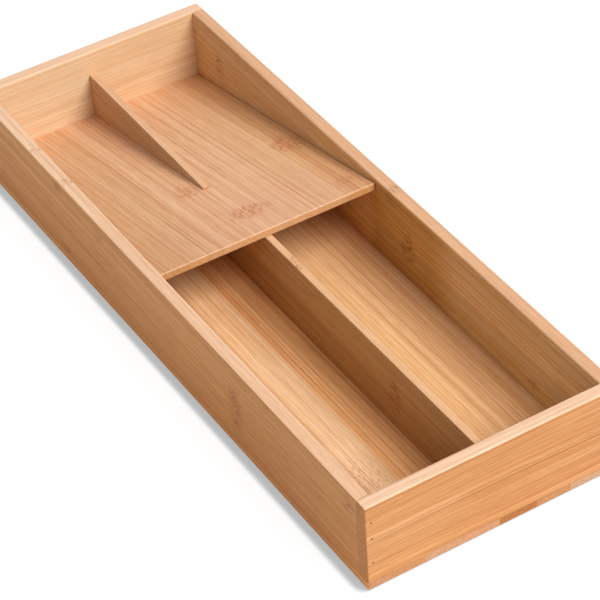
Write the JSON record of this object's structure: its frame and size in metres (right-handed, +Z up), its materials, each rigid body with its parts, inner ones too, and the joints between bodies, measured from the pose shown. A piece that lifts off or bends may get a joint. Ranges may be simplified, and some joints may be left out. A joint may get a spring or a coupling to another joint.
{
  "type": "two-tier cutlery tray",
  "caption": "Long bamboo cutlery tray for a drawer, with a sloped upper shelf at the rear, a deep lower tier in front and a lengthwise divider in each.",
  "frame": {"origin": "middle of the underside, on the surface that the tray stands on", "axes": "+Z up, +Y along the length from the deep front tier to the raised rear tier, +X to the right seen from the front"},
  "size_m": [0.142, 0.394, 0.0525],
  "materials": {
    "base_bamboo": "flat-pressed bamboo strips, satin clear coat",
    "side_bamboo": "side-pressed bamboo strips, satin clear coat",
    "end_bamboo": "side-pressed bamboo strips, satin clear coat",
    "divider_bamboo": "side-pressed bamboo strips, satin clear coat",
    "shelf_bamboo": "flat-pressed bamboo strips, satin clear coat",
    "brad_steel": "dull steel nails, sunk and darkened"
  },
  "bodies": {
    "root": {"base_board": "base_bamboo", "left_side": "side_bamboo", "right_side": "side_bamboo", "front_panel": "end_bamboo", "rear_panel": "end_bamboo", "lower_divider": "divider_bamboo", "sloped_shelf": "shelf_bamboo", "shelf_divider": "divider_bamboo", "base_left_brads": "brad_steel", "base_right_brads": "brad_steel", "base_front_brads": "brad_steel", "base_rear_brads": "brad_steel", "divider_brads": "brad_steel", "front_left_brads": "brad_steel", "front_right_brads": "brad_steel", "rear_left_brads": "brad_steel", "rear_right_brads": "brad_steel", "shelf_divider_brads": "brad_steel", "shelf_brads": "brad_steel"}
  },
  "joints": []
}
